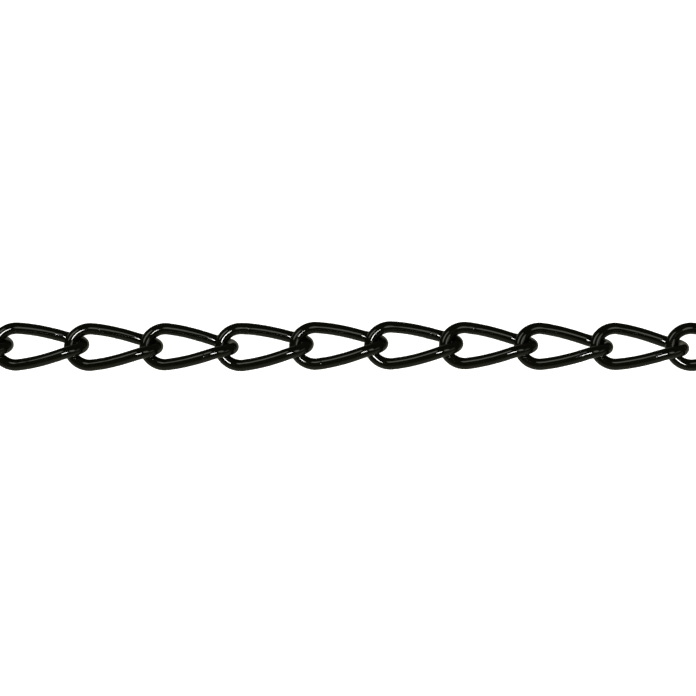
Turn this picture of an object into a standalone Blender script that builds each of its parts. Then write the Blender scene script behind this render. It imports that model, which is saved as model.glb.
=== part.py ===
# A metre of twisted-link steel chain.
#
# Each link is one round wire, bent to a long oval, butt-welded and then twisted about its long axis, so
# that its two end bows lie in planes that cross. A bow is half an ellipse, a little longer than a half
# circle. The links thread through each other and lie in a straight row along X, as the chain rests on a
# floor. The floor is Z = 0.

import math

import bpy

MM = 0.001

# driving dimensions
LINK_COUNT = 30
PITCH = 33.4 * MM
WIRE_DIAMETER = 5.1 * MM
OUTER_WIDTH = 21.8 * MM
INNER_LENGTH = 34.0 * MM
BOW_LENGTH = 9.8 * MM
TWIST = math.radians(64.0)

# how finely the wire is drawn, and the turn that lays one of its flats square across each bow's inside
STEPS_IN_BOW = 9
STEPS_IN_SIDE = 4
SIDES_OF_WIRE = 10
TURN_OF_SIDES = math.radians(16.2)

# the black coating
COATING_COLOR = (0.006, 0.006, 0.005, 1.0)
COATING_ROUGHNESS = 0.3

WIRE_RADIUS = WIRE_DIAMETER / 2
HALF_WIDTH = (OUTER_WIDTH - WIRE_DIAMETER) / 2
HALF_LENGTH = (INNER_LENGTH + WIRE_DIAMETER) / 2
HALF_SIDE = HALF_LENGTH - BOW_LENGTH
TWIST_RATE = TWIST / 2 / (HALF_SIDE + BOW_LENGTH / 3)


def clear_scene():
    """Remove whatever the file holds, so that the part stands alone."""
    for thing in list(bpy.data.objects):
        bpy.data.objects.remove(thing, do_unlink=True)


def coating():
    """Glossy black coating over the steel."""
    material = bpy.data.materials.new("black_coating")
    material.use_nodes = True
    shader = material.node_tree.nodes["Principled BSDF"]
    shader.inputs["Base Color"].default_value = COATING_COLOR
    shader.inputs["Roughness"].default_value = COATING_ROUGHNESS
    shader.inputs["Metallic"].default_value = 0.0
    return material


def flat_oval():
    """The wire's centre line before the twist: points (along, across) once round the oval."""
    half = []
    for step in range(STEPS_IN_BOW + 1):
        turn = math.pi * step / STEPS_IN_BOW
        half.append((HALF_SIDE + BOW_LENGTH * math.sin(turn), HALF_WIDTH * math.cos(turn)))
    for step in range(1, STEPS_IN_SIDE):
        half.append((HALF_SIDE - 2 * HALF_SIDE * step / STEPS_IN_SIDE, -HALF_WIDTH))
    return half + [(-along, -across) for along, across in half]


def twist_at(along):
    """How far the oval is turned about X there: evenly along the sides, then at a rate that falls as the
    square of the way left to the bow's tip."""
    into_bow = max(0.0, abs(along) - HALF_SIDE) / BOW_LENGTH
    eased = BOW_LENGTH / 3 * (1 - (1 - into_bow) ** 3)
    turned = TWIST_RATE * (min(abs(along), HALF_SIDE) + eased)
    return -math.copysign(turned, along)


def centre_line():
    """The twisted wire's centre line, as points round the link's own middle."""
    places = []
    for along, across in flat_oval():
        angle = twist_at(along)
        places.append((along, across * math.cos(angle), across * math.sin(angle)))
    return places


def link_mesh(material):
    """One link: a round wire swept once round the twisted oval."""
    wire = bpy.data.curves.new("link_wire", "CURVE")
    wire.dimensions = "3D"
    wire.bevel_depth = WIRE_RADIUS
    wire.bevel_resolution = (SIDES_OF_WIRE - 4) // 2
    wire.twist_mode = "MINIMUM"
    places = centre_line()
    spline = wire.splines.new("POLY")
    spline.points.add(len(places) - 1)
    for point, place in zip(spline.points, places):
        point.co = (*place, 1.0)
        point.tilt = TURN_OF_SIDES
    spline.use_cyclic_u = True
    guide = bpy.data.objects.new("link_wire", wire)
    bpy.context.scene.collection.objects.link(guide)
    evaluated = guide.evaluated_get(bpy.context.evaluated_depsgraph_get())
    mesh = bpy.data.meshes.new_from_object(evaluated)
    mesh.name = "link"
    mesh.materials.clear()
    mesh.materials.append(material)
    mesh.shade_smooth()
    bpy.data.objects.remove(guide, do_unlink=True)
    return mesh


def lay_chain(mesh):
    """The links in a row, each a pitch further along, at the height at which they rest on the floor."""
    chain = bpy.data.collections.new("twisted_link_chain")
    bpy.context.scene.collection.children.link(chain)
    rest_height = -min(vertex.co.z for vertex in mesh.vertices)
    first = -PITCH * (LINK_COUNT - 1) / 2
    for number in range(LINK_COUNT):
        link = bpy.data.objects.new(f"link_{number + 1:02d}", mesh)
        link.location = (first + PITCH * number, 0.0, rest_height)
        chain.objects.link(link)


clear_scene()
lay_chain(link_mesh(coating()))
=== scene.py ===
# %% [markdown]
# A metre of black twisted-link chain.
# Each link is one round steel wire: bent to an oval, butt-welded, twisted about its long axis by 64
# degrees from bow to bow, and then coated black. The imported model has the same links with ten-sided wires.
# Here each one is made again as a smooth surface, with its weld, its small dents and its coating, and laid
# in place.

# %% Load the frame
import math

import bpy
import numpy as np
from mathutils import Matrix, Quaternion, Vector


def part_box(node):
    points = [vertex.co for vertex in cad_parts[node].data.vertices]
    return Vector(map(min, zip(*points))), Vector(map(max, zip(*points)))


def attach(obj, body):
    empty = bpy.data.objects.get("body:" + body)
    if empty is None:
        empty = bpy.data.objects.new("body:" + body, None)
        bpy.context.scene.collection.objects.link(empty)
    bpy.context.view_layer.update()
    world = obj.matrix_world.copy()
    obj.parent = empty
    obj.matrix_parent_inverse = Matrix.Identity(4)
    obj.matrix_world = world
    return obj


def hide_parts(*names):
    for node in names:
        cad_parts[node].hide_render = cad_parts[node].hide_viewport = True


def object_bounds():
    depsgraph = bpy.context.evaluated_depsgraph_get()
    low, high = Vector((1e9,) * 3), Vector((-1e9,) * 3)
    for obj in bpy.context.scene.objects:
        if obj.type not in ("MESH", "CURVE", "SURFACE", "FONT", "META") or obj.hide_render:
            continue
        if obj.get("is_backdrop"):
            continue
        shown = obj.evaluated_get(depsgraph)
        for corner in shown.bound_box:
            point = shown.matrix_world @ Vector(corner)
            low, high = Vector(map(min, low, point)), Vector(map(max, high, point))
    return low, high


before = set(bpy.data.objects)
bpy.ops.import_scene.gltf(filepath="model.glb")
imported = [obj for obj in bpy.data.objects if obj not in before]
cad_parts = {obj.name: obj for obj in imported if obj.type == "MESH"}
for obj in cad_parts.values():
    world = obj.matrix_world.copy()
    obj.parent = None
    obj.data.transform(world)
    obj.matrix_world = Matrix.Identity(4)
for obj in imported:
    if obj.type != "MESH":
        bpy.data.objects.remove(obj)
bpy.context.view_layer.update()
LINKS = sorted(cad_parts)

# %% [markdown]
# The sizes of one link.
# A chain is sold by its wire and its pitch. The rest comes from the forming: a bow is half an ellipse, a
# little longer than a half circle, the sides are straight, and the twist turns the two bows out of one
# plane. The pitch is read from the frame, so that each link here is as far from the next as its solid is.
# The wire is 0.14 mm thicker over its enamel than the solid's, which brings its outline closer to the
# picture's. A thin dark wire before white paper may lose that much to the blending of its edges.

# %% Name the sizes
MM = 0.001
WIRE_RADIUS = 2.62 * MM
OUTER_WIDTH = 22.02 * MM
INNER_LENGTH = 33.86 * MM
BOW_LENGTH = 9.8 * MM
TWIST = math.radians(64.0)

HALF_WIDTH = OUTER_WIDTH / 2 - WIRE_RADIUS
HALF_LENGTH = INNER_LENGTH / 2 + WIRE_RADIUS
HALF_SIDE = HALF_LENGTH - BOW_LENGTH
TWIST_RATE = TWIST / 2 / (HALF_SIDE + BOW_LENGTH / 3)


def middle_of(node):
    """The middle of a link's box: halfway between its lowest and its highest corner."""
    low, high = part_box(node)
    return np.array((low + high) / 2)


PITCH = (middle_of(LINKS[-1])[0] - middle_of(LINKS[0])[0]) / (len(LINKS) - 1)
print("pitch %.2f mm, half a side %.2f mm" % (PITCH / MM, HALF_SIDE / MM))

# %% [markdown]
# The centre line of the wire.
# Walking once round the flat oval, every point is known by how far along the link it lies and how far
# across. The twist then turns the across direction about the long axis, by an angle that depends only on
# the place along the link. It grows evenly along the sides and dies away inside each bow, because the jaws
# that twist a link hold it by its bows. The walk is counted in shares of one round, and a running sum of
# small steps tells how many metres of wire lie behind each share.

# %% Walk round the twisted oval


def twist_at(along):
    """Angle about X: the rate times the way along a side, plus in a bow a part that follows a cube of the
    way left to its tip."""
    into_bow = np.clip(np.abs(along) - HALF_SIDE, 0, None) / BOW_LENGTH
    eased = BOW_LENGTH / 3 * (1 - (1 - into_bow) ** 3)
    return -np.sign(along) * TWIST_RATE * (np.minimum(np.abs(along), HALF_SIDE) + eased)


def flat_oval(share):
    """(along, across) at a share of one round: side, right bow, side, left bow, a quarter of it each."""
    quarter = np.mod(share, 1.0) * 4
    half = np.where(quarter < 2, 1.0, -1.0)
    on_side = np.minimum(np.mod(quarter, 2), 1)
    turn = (np.mod(quarter, 2) - on_side) * math.pi
    along = (2 * on_side - 1) * HALF_SIDE + BOW_LENGTH * np.sin(turn)
    return half * along, half * HALF_WIDTH * np.cos(turn)


def centre_line(share):
    """The oval's points, with across turned about X by the twist, and the direction out of the oval."""
    along, across = flat_oval(share)
    angle = twist_at(along)
    still = np.zeros_like(angle)
    sideways = np.stack([still, np.cos(angle), np.sin(angle)], axis=-1)
    out_of_plane = np.stack([still, -np.sin(angle), np.cos(angle)], axis=-1)
    points = along[:, None] * np.array([1.0, 0.0, 0.0]) + across[:, None] * sideways
    return points, out_of_plane


SHARE_COUNT = 8001
SHARES = np.linspace(0, 1, SHARE_COUNT)
STEPS = np.linalg.norm(np.diff(centre_line(SHARES)[0], axis=0), axis=1)
WAY_BEHIND = np.concatenate([[0], np.cumsum(STEPS)])
WAY_ROUND = WAY_BEHIND[-1]
print("wire once round a link %.1f mm" % (WAY_ROUND / MM))

# %% [markdown]
# The wire's surface.
# A tube is a circle carried along the centre line. Its two radial directions have to come back to where
# they started after one round, or the tube would close with a step. The direction out of the oval's own
# plane does that by itself, since it depends only on the place along the link, so it serves as the first
# radial direction, and the second one is square to it and to the wire.

# %% Sweep the wire
ROWS = 336
ROUND = 36
TURNS = np.arange(ROUND) / ROUND * 2 * math.pi
WAY_COUNT = 4001
TANGENT_SHARE = 1e-4
WELD_FROM_MIDDLE = 7.5 * MM
WELD_WAY = np.interp((WELD_FROM_MIDDLE / HALF_SIDE + 1) / 8, SHARES, WAY_BEHIND)
WELD_ROWS_NEAR = 1.6 * MM
WELD_ROWS_MORE = 7


def rows_of_wire():
    """Distances round the wire, closer near the weld: the inverse of a running sum of a density."""
    way = np.linspace(0, WAY_ROUND, WAY_COUNT)
    density = 1 + WELD_ROWS_MORE * np.exp(-((way - WELD_WAY) / WELD_ROWS_NEAR) ** 2)
    running = np.concatenate([[0], np.cumsum((density[1:] + density[:-1]) / 2)])
    return np.interp(np.arange(ROWS) / ROWS * running[-1], running, way)


def tube(way, radius):
    """Centre line plus radius times the radial direction: rows along the wire, columns round it."""
    share = np.interp(way, WAY_BEHIND, SHARES)
    points, out_of_plane = centre_line(share)
    ahead, _ = centre_line(share + TANGENT_SHARE)
    behind, _ = centre_line(share - TANGENT_SHARE)
    tangent = ahead - behind
    tangent /= np.linalg.norm(tangent, axis=1, keepdims=True)
    first = out_of_plane - tangent * np.sum(out_of_plane * tangent, axis=1, keepdims=True)
    first /= np.linalg.norm(first, axis=1, keepdims=True)
    second = np.cross(tangent, first)
    radial = first[:, None] * np.cos(TURNS)[:, None] + second[:, None] * np.sin(TURNS)[:, None]
    return points[:, None] + radius[..., None] * radial


# %% [markdown]
# Weld, dents and other traces of the making.
# The two ends of the wire meet in a butt weld, a little off the middle of one side. After trimming and
# coating it is a fine line with a slight swelling. The wire is also never quite round: the rollers, the
# mandrel and the jaws leave shallow dents a few hundredths of a millimetre deep. They are too small to see
# as shape, yet a glossy surface shows them, because its highlights bend and break over them.

# %% Shape the wire's radius
WELD_SWELL = 0.06 * MM
WELD_SWELL_WIDTH = 1.1 * MM
WELD_LINE = 0.10 * MM
WELD_LINE_WIDTH = 0.16 * MM
DENT = 0.018 * MM
DENT_WAVES = range(3, 22, 2)
DENT_WAVES_ROUND = (1, 4)


def weld_profile(way):
    """A low bell of swelling round the weld with a narrow bell-shaped line cut into its middle."""
    off = way - WELD_WAY
    swell = WELD_SWELL * np.exp(-(off / WELD_SWELL_WIDTH) ** 2)
    return swell - WELD_LINE * np.exp(-(off / WELD_LINE_WIDTH) ** 2)


def dents(way, random):
    """A sum of waves with whole numbers of turns round the oval and round the wire, so that it closes."""
    round_way = way / WAY_ROUND * 2 * math.pi
    height = np.zeros((len(way), ROUND))
    for turns_along in DENT_WAVES:
        turns_round = random.integers(*DENT_WAVES_ROUND)
        phase = random.uniform(0, 2 * math.pi, 2)
        wave_along = np.cos(turns_along * round_way + phase[0])[:, None]
        height += wave_along * np.cos(turns_round * TURNS + phase[1]) / math.sqrt(turns_along)
    return DENT * height


def wire_radius(way, random):
    """The plain radius with the weld's profile and the dents added."""
    return WIRE_RADIUS + weld_profile(way)[:, None] + dents(way, random)


# %% [markdown]
# How the links lie.
# A chain laid out by hand is never quite regular. The row as a whole makes a slight wave. Each link rolls
# by a few degrees about its long axis, swings aside as it does so, and slides a little in its slack. A link
# can also be threaded in either way round and either side up, which leaves its twist the same but moves the
# weld to one of four places. For the links in the picture the lie is read from the picture, and so is the
# weld's place for the five that show a seam. All else is left to chance.

# %% Place a link
SEEN = ["link_%02d" % number for number in range(11, 21)]
ROLL_SEEN = (-3.5, -1.0, 2.0, -4.5, -2.5, -4.5, 1.5, 2.0, 2.0, -4.5)
SWING_SEEN = (2.0, 0.5, -0.5, 3.5, 3.0, 2.5, 0.5, -0.5, -2.0, 1.0)
SLIDE_SEEN = (0.3, -0.1, 0.1, 0.1, -0.1, -0.1, -0.2, -0.2, 0.1, 0.2)
THREADED_SEEN = {"link_12": "Y", "link_14": "Y", "link_15": "Z", "link_18": "X", "link_19": "X"}
ROLL_LIMIT = 2.5
SWING_LIMIT = 0.8
SLIDE_LIMIT = 0.1
WAVE_HEIGHT = 0.7 * MM
WAVE_LENGTH = 6.5 * PITCH
WAVE_START = -46.0 * MM


def half_turned(points, about):
    """A half turn about X, Y or Z keeps that coordinate and changes the sign of the other two."""
    signs = -np.ones(3)
    signs["XYZ".index(about)] = 1
    return points * signs


def turned(points, about, degrees):
    """A turn about X or Z: the other two coordinates mix by the angle's cosine and sine."""
    first, second = {"X": (1, 2), "Z": (0, 1)}[about]
    c, s = math.cos(math.radians(degrees)), math.sin(math.radians(degrees))
    result = points.copy()
    result[..., first] = c * points[..., first] - s * points[..., second]
    result[..., second] = s * points[..., first] + c * points[..., second]
    return result


def wave_phase(x):
    """How far the row's wave has run there: the way from its start over its length, times a full turn."""
    return (x - WAVE_START) / WAVE_LENGTH * 2 * math.pi


def wave(x):
    """Sideways offset of the row there: a sine of the wave's phase."""
    return WAVE_HEIGHT * math.sin(wave_phase(x))


def wave_slope(x):
    """The row's direction there in degrees: the arc tangent of the wave's slope, a cosine."""
    slope = WAVE_HEIGHT * 2 * math.pi / WAVE_LENGTH * math.cos(wave_phase(x))
    return math.degrees(math.atan(slope))


def laid(points, node, random):
    """One of the four ways to thread a link in, then its roll, its swing, its slide and the row's wave."""
    threaded = THREADED_SEEN.get(node, random.choice(["", "X", "Y", "Z"]))
    roll, swing, slide = random.uniform(-1, 1, 3) * (ROLL_LIMIT, SWING_LIMIT, SLIDE_LIMIT)
    swing += wave_slope(middle_of(node)[0])
    if node in SEEN:
        place = SEEN.index(node)
        roll, swing, slide = ROLL_SEEN[place], SWING_SEEN[place], SLIDE_SEEN[place]
    if threaded:
        points = half_turned(points, threaded)
    points = turned(turned(points, "X", -roll), "Z", swing)
    middle = middle_of(node)
    return points + middle + np.array([slide * MM, wave(middle[0]), 0.0])


# %% [markdown]
# From a grid of points to a mesh.
# The grid closes in both directions, like a ring. Its faces join each point to the next along the wire and
# the next round it, and the last row and column join back to the first. UV runs once per full round: U is
# the way round the oval and V is the turn round the wire, both in metres, so a pattern keeps its real size.

# %% Make the mesh
WELD_MASK_WIDTH = 2.2 * MM


def ring_mesh(name, points, way):
    """Quads between neighbours on a grid that wraps round both ways, with UV in metres and a weld mask."""
    rows, columns = points.shape[:2]
    index = np.arange(rows * columns).reshape(rows, columns)
    along = np.roll(index, -1, axis=0)
    faces = np.stack([index, along, np.roll(along, -1, axis=1), np.roll(index, -1, axis=1)], axis=-1)
    mesh = bpy.data.meshes.new(name)
    mesh.from_pydata(points.reshape(-1, 3), [], faces.reshape(-1, 4))
    mesh.polygons.foreach_set("use_smooth", np.ones(rows * columns, dtype=bool))

    next_way = np.append(way[1:], WAY_ROUND)
    column = np.arange(columns) / columns * 2 * math.pi * WIRE_RADIUS
    next_column = np.arange(1, columns + 1) / columns * 2 * math.pi * WIRE_RADIUS
    corners = [(way, column), (next_way, column), (next_way, next_column), (way, next_column)]
    uv = np.stack([np.stack(np.meshgrid(u, v, indexing="ij"), axis=-1) for u, v in corners], axis=2)
    mesh.uv_layers.new(name="wire").data.foreach_set("uv", uv.astype(np.float32).ravel())

    weld = np.exp(-((way - WELD_WAY) / WELD_MASK_WIDTH) ** 2)
    attribute = mesh.attributes.new("weld", "FLOAT", "POINT")
    attribute.data.foreach_set("value", np.repeat(weld, columns).astype(np.float32))
    mesh.update()
    return mesh


# %% [markdown]
# The colours and the nodes.
# A colour picked from a screen is an sRGB value, but the renderer counts in linear light, so one function
# turns the one into the other. A second one adds a node with its settings and links, which keeps each
# material short enough to read.

# %% Two helpers for materials


def linear(hex_colour):
    """sRGB hex to linear RGBA: a straight part near black and a power of 2.4 above it."""
    values = np.array([int(hex_colour[i:i + 2], 16) for i in (1, 3, 5)]) / 255
    low, high = values / 12.92, ((values + 0.055) / 1.055) ** 2.4
    return (*np.where(values <= 0.04045, low, high), 1.0)


def add_node(tree, kind, inputs=None, **settings):
    """A node of that kind. A socket given as another node's output is linked, any other value is set."""
    node = tree.nodes.new(kind)
    for name, value in settings.items():
        setattr(node, name, value)
    for socket, value in (inputs or {}).items():
        if isinstance(value, bpy.types.NodeSocket):
            tree.links.new(value, node.inputs[socket])
        else:
            node.inputs[socket].default_value = value
    return node


# %% [markdown]
# Black stoving enamel.
# The links are dipped in black enamel and baked. That gives a hard, smooth, glossy skin, nearly black with
# a trace of olive, which shows lights as narrow white streaks. It is not a perfect mirror: the dip dries
# with a faint orange peel of about a millimetre, and the gloss varies from place to place.

# %% Mix the enamel
ENAMEL = "#040401"
ENAMEL_THIN = "#080904"
ENAMEL_IOR = 1.5
PEEL_SIZE = 1.1 * MM
PEEL_HEIGHT = 0.02 * MM
PEEL_STRENGTH = 0.25
CLOUD_SIZE = 7.0 * MM
CLOUD_RANGE = (0.3, 0.7)
ROUGHNESS_RANGE = (0.04, 0.08)
WELD_DULLS = 0.08


def black_enamel():
    """Noise in object space sets the gloss and the peel, and the weld's mask dulls the skin there."""
    material = bpy.data.materials.new("black_stoving_enamel")
    material.use_nodes = True
    tree = material.node_tree
    shader = tree.nodes["Principled BSDF"]
    place = add_node(tree, "ShaderNodeTexCoord").outputs["Object"]
    peel = add_node(tree, "ShaderNodeTexNoise", {"Vector": place, "Scale": 1 / PEEL_SIZE, "Detail": 2.0})
    cloud = add_node(tree, "ShaderNodeTexNoise", {"Vector": place, "Scale": 1 / CLOUD_SIZE, "Detail": 3.0})
    colour = add_node(
        tree, "ShaderNodeMix",
        {"Factor": cloud.outputs["Fac"], "A": linear(ENAMEL), "B": linear(ENAMEL_THIN)},
        data_type="RGBA",
    )
    gloss = add_node(
        tree, "ShaderNodeMapRange",
        {
            "Value": cloud.outputs["Fac"],
            "From Min": CLOUD_RANGE[0], "From Max": CLOUD_RANGE[1],
            "To Min": ROUGHNESS_RANGE[0], "To Max": ROUGHNESS_RANGE[1],
        },
    )
    weld = add_node(tree, "ShaderNodeAttribute", attribute_name="weld").outputs["Fac"]
    dulled = add_node(
        tree, "ShaderNodeMath",
        {0: weld, 1: WELD_DULLS, 2: gloss.outputs["Result"]},
        operation="MULTIPLY_ADD",
    )
    bump = add_node(
        tree, "ShaderNodeBump",
        {"Height": peel.outputs["Fac"], "Strength": PEEL_STRENGTH, "Distance": PEEL_HEIGHT},
    )
    tree.links.new(colour.outputs["Result"], shader.inputs["Base Color"])
    tree.links.new(dulled.outputs["Value"], shader.inputs["Roughness"])
    tree.links.new(bump.outputs["Normal"], shader.inputs["Normal"])
    shader.inputs["IOR"].default_value = ENAMEL_IOR
    return material


# %% [markdown]
# Making the links.
# Every link is a mesh of its own, because its dents and its place differ. A seeded generator gives each
# one the same chance values on every run. Each piece rides on its link's body and stands for its solid.

# %% Make every link
FIRST_SEED = 1000

enamel = black_enamel()
way = rows_of_wire()
triangles = 0
for number, node in enumerate(LINKS):
    random = np.random.default_rng(FIRST_SEED + number)
    points = laid(tube(way, wire_radius(way, random)), node, random)
    mesh = ring_mesh("smooth_" + node, points, way)
    mesh.materials.append(enamel)
    piece = bpy.data.objects.new("smooth_" + node, mesh)
    bpy.context.scene.collection.objects.link(piece)
    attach(piece, node)
    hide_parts(node)
    triangles += 2 * len(mesh.polygons)
print("triangles:", triangles)

# %% [markdown]
# Camera.
# The picture is taken from in front and above with a long lens, so that the links stay alike from one edge
# of the frame to the other. The frame's width in millimetres follows from the pitch: a link's pitch is 75
# of the picture's 696 pixels. The camera's own axes are needed again for the lights.

# %% Aim the camera
FRAME_PIXELS = 696
PITCH_PIXELS = 75.02
LENS_MM = 150.0
SENSOR_MM = 36.0
ELEVATION = math.radians(49.5)
SEEN_LINK = "link_15"
SEEN_LINK_PIXEL = (338.5, 345.25)

MM_PER_PIXEL = PITCH / PITCH_PIXELS
RIGHT = np.array([1.0, 0.0, 0.0])
UP = np.array([0.0, math.sin(ELEVATION), math.cos(ELEVATION)])
TOWARD = np.array([0.0, -math.cos(ELEVATION), math.sin(ELEVATION)])


def aim_point():
    """The seen link's middle, moved by that link's distance in the picture from the picture's middle."""
    middle = (FRAME_PIXELS - 1) / 2
    right = (middle - SEEN_LINK_PIXEL[0]) * MM_PER_PIXEL
    down = (middle - SEEN_LINK_PIXEL[1]) * MM_PER_PIXEL
    return middle_of(SEEN_LINK) + right * RIGHT - down * UP


def facing(direction):
    """The turn that points an object's -Z, the way a camera or an area light looks, against a direction."""
    return Vector(direction).to_track_quat("Z", "Y")


target = aim_point()
distance = FRAME_PIXELS * MM_PER_PIXEL * LENS_MM / SENSOR_MM
camera = bpy.data.objects.new("camera", bpy.data.cameras.new("camera"))
camera.data.lens = LENS_MM
camera.data.sensor_width = SENSOR_MM
camera.location = target + distance * TOWARD
camera.rotation_euler = facing(TOWARD).to_euler()
bpy.context.scene.collection.objects.link(camera)
bpy.context.scene.camera = camera
print("camera %.0f mm away, frame %.0f mm wide" % (distance / MM, FRAME_PIXELS * MM_PER_PIXEL / MM))

# %% [markdown]
# Floor, lights and surroundings.
# A black glossy thing is drawn by what it mirrors. The picture's streaks come from one bright soft light
# close to the camera, and its thin grey lines from four dim panels to the camera's left and right. Nearly
# everything else that the enamel mirrors is dark. The floor is white by a glow of its own and is hidden
# from reflections, and a dim room stands in for it there.

# %% Set up the studio
FLOOR_SIZE = 40.0
LIGHT_DISTANCE = 2.6
ROOM_ABOVE = 0.03
ROOM_BELOW = 0.27
HORIZON = (-0.3, 0.1)
WHITE = "#ffffff"
PAPER = "#f4f4f2"
SOFTBOX = "#fffff1"
ROOM = "#fffee6"


def floor(height):
    """A large square, level at that height, in matt white paper with a glow of its own."""
    corners = np.array([(-1, -1, 0), (1, -1, 0), (1, 1, 0), (-1, 1, 0)]) * FLOOR_SIZE / 2
    corners[:, 2] = height
    mesh = bpy.data.meshes.new("floor")
    mesh.from_pydata(corners, [], [(0, 1, 2, 3)])
    material = bpy.data.materials.new("white_paper")
    material.use_nodes = True
    shader = material.node_tree.nodes["Principled BSDF"]
    shader.inputs["Base Color"].default_value = linear(PAPER)
    shader.inputs["Roughness"].default_value = 0.9
    shader.inputs["Specular IOR Level"].default_value = 0.0
    shader.inputs["Emission Color"].default_value = (1.0, 1.0, 1.0, 1.0)
    shader.inputs["Emission Strength"].default_value = 1.0
    mesh.materials.append(material)
    sheet = bpy.data.objects.new("floor", mesh)
    bpy.context.scene.collection.objects.link(sheet)
    sheet.visible_glossy = False
    sheet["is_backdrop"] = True


def seen_from_camera(right_degrees, up_degrees):
    """The direction that lies so many degrees to the right of and above the direction to the camera."""
    angle = math.radians(math.hypot(right_degrees, up_degrees))
    heading = math.atan2(up_degrees, right_degrees)
    across = math.cos(heading) * RIGHT + math.sin(heading) * UP
    return math.cos(angle) * TOWARD + math.sin(angle) * across


def soft_light(name, right_up, half_size, brightness, colour=WHITE, tilt=0.0):
    """An oval light that faces the view's middle, sized and tilted in degrees. Its watts are its brightness
    times pi times its area."""
    width, height = 2 * LIGHT_DISTANCE * np.tan(np.radians(half_size))
    direction = seen_from_camera(*right_up)
    data = bpy.data.lights.new(name, "AREA")
    data.shape = "ELLIPSE"
    data.size = width
    data.size_y = height
    data.color = linear(colour)[:3]
    data.energy = brightness * math.pi * (math.pi * width * height / 4)
    lamp = bpy.data.objects.new(name, data)
    lamp.location = target + LIGHT_DISTANCE * direction
    lamp.rotation_euler = (facing(direction) @ Quaternion((0, 0, 1), math.radians(tilt))).to_euler()
    lamp.visible_camera = False
    bpy.context.scene.collection.objects.link(lamp)


def surroundings():
    """White to the camera. What the enamel mirrors is a dim room, less dim below the horizon than above."""
    world = bpy.data.worlds.new("surroundings")
    world.use_nodes = True
    tree = world.node_tree
    background = tree.nodes["Background"]
    direction = add_node(tree, "ShaderNodeTexCoord").outputs["Generated"]
    up = add_node(tree, "ShaderNodeSeparateXYZ", {"Vector": direction}).outputs["Z"]
    room = add_node(
        tree, "ShaderNodeMapRange",
        {
            "Value": up,
            "From Min": HORIZON[0], "From Max": HORIZON[1],
            "To Min": ROOM_BELOW, "To Max": ROOM_ABOVE,
        },
    )
    is_camera = add_node(tree, "ShaderNodeLightPath").outputs["Is Camera Ray"]
    strength = add_node(
        tree, "ShaderNodeMapRange",
        {"Value": is_camera, "To Min": room.outputs["Result"], "To Max": 1.0},
    )
    colour = add_node(
        tree, "ShaderNodeMix",
        {"Factor": is_camera, "A": linear(ROOM), "B": linear(WHITE)},
        data_type="RGBA",
    )
    tree.links.new(strength.outputs["Result"], background.inputs["Strength"])
    tree.links.new(colour.outputs["Result"], background.inputs["Color"])
    bpy.context.scene.world = world


floor(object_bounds()[0].z)
surroundings()
soft_light("key", (1, 0.5), (14, 4.2), 50, tilt=10)
soft_light("left_panel", (-33, 36), (10, 15), 2.1, SOFTBOX)
soft_light("right_panel", (32, 11), (11, 16), 1.8, SOFTBOX)
soft_light("far_right_panel", (60, 4), (16, 7), 0.6, SOFTBOX)
soft_light("far_left_panel", (-80, -20), (10, 16), 0.3, SOFTBOX)
bpy.context.scene.view_settings.view_transform = "Standard"
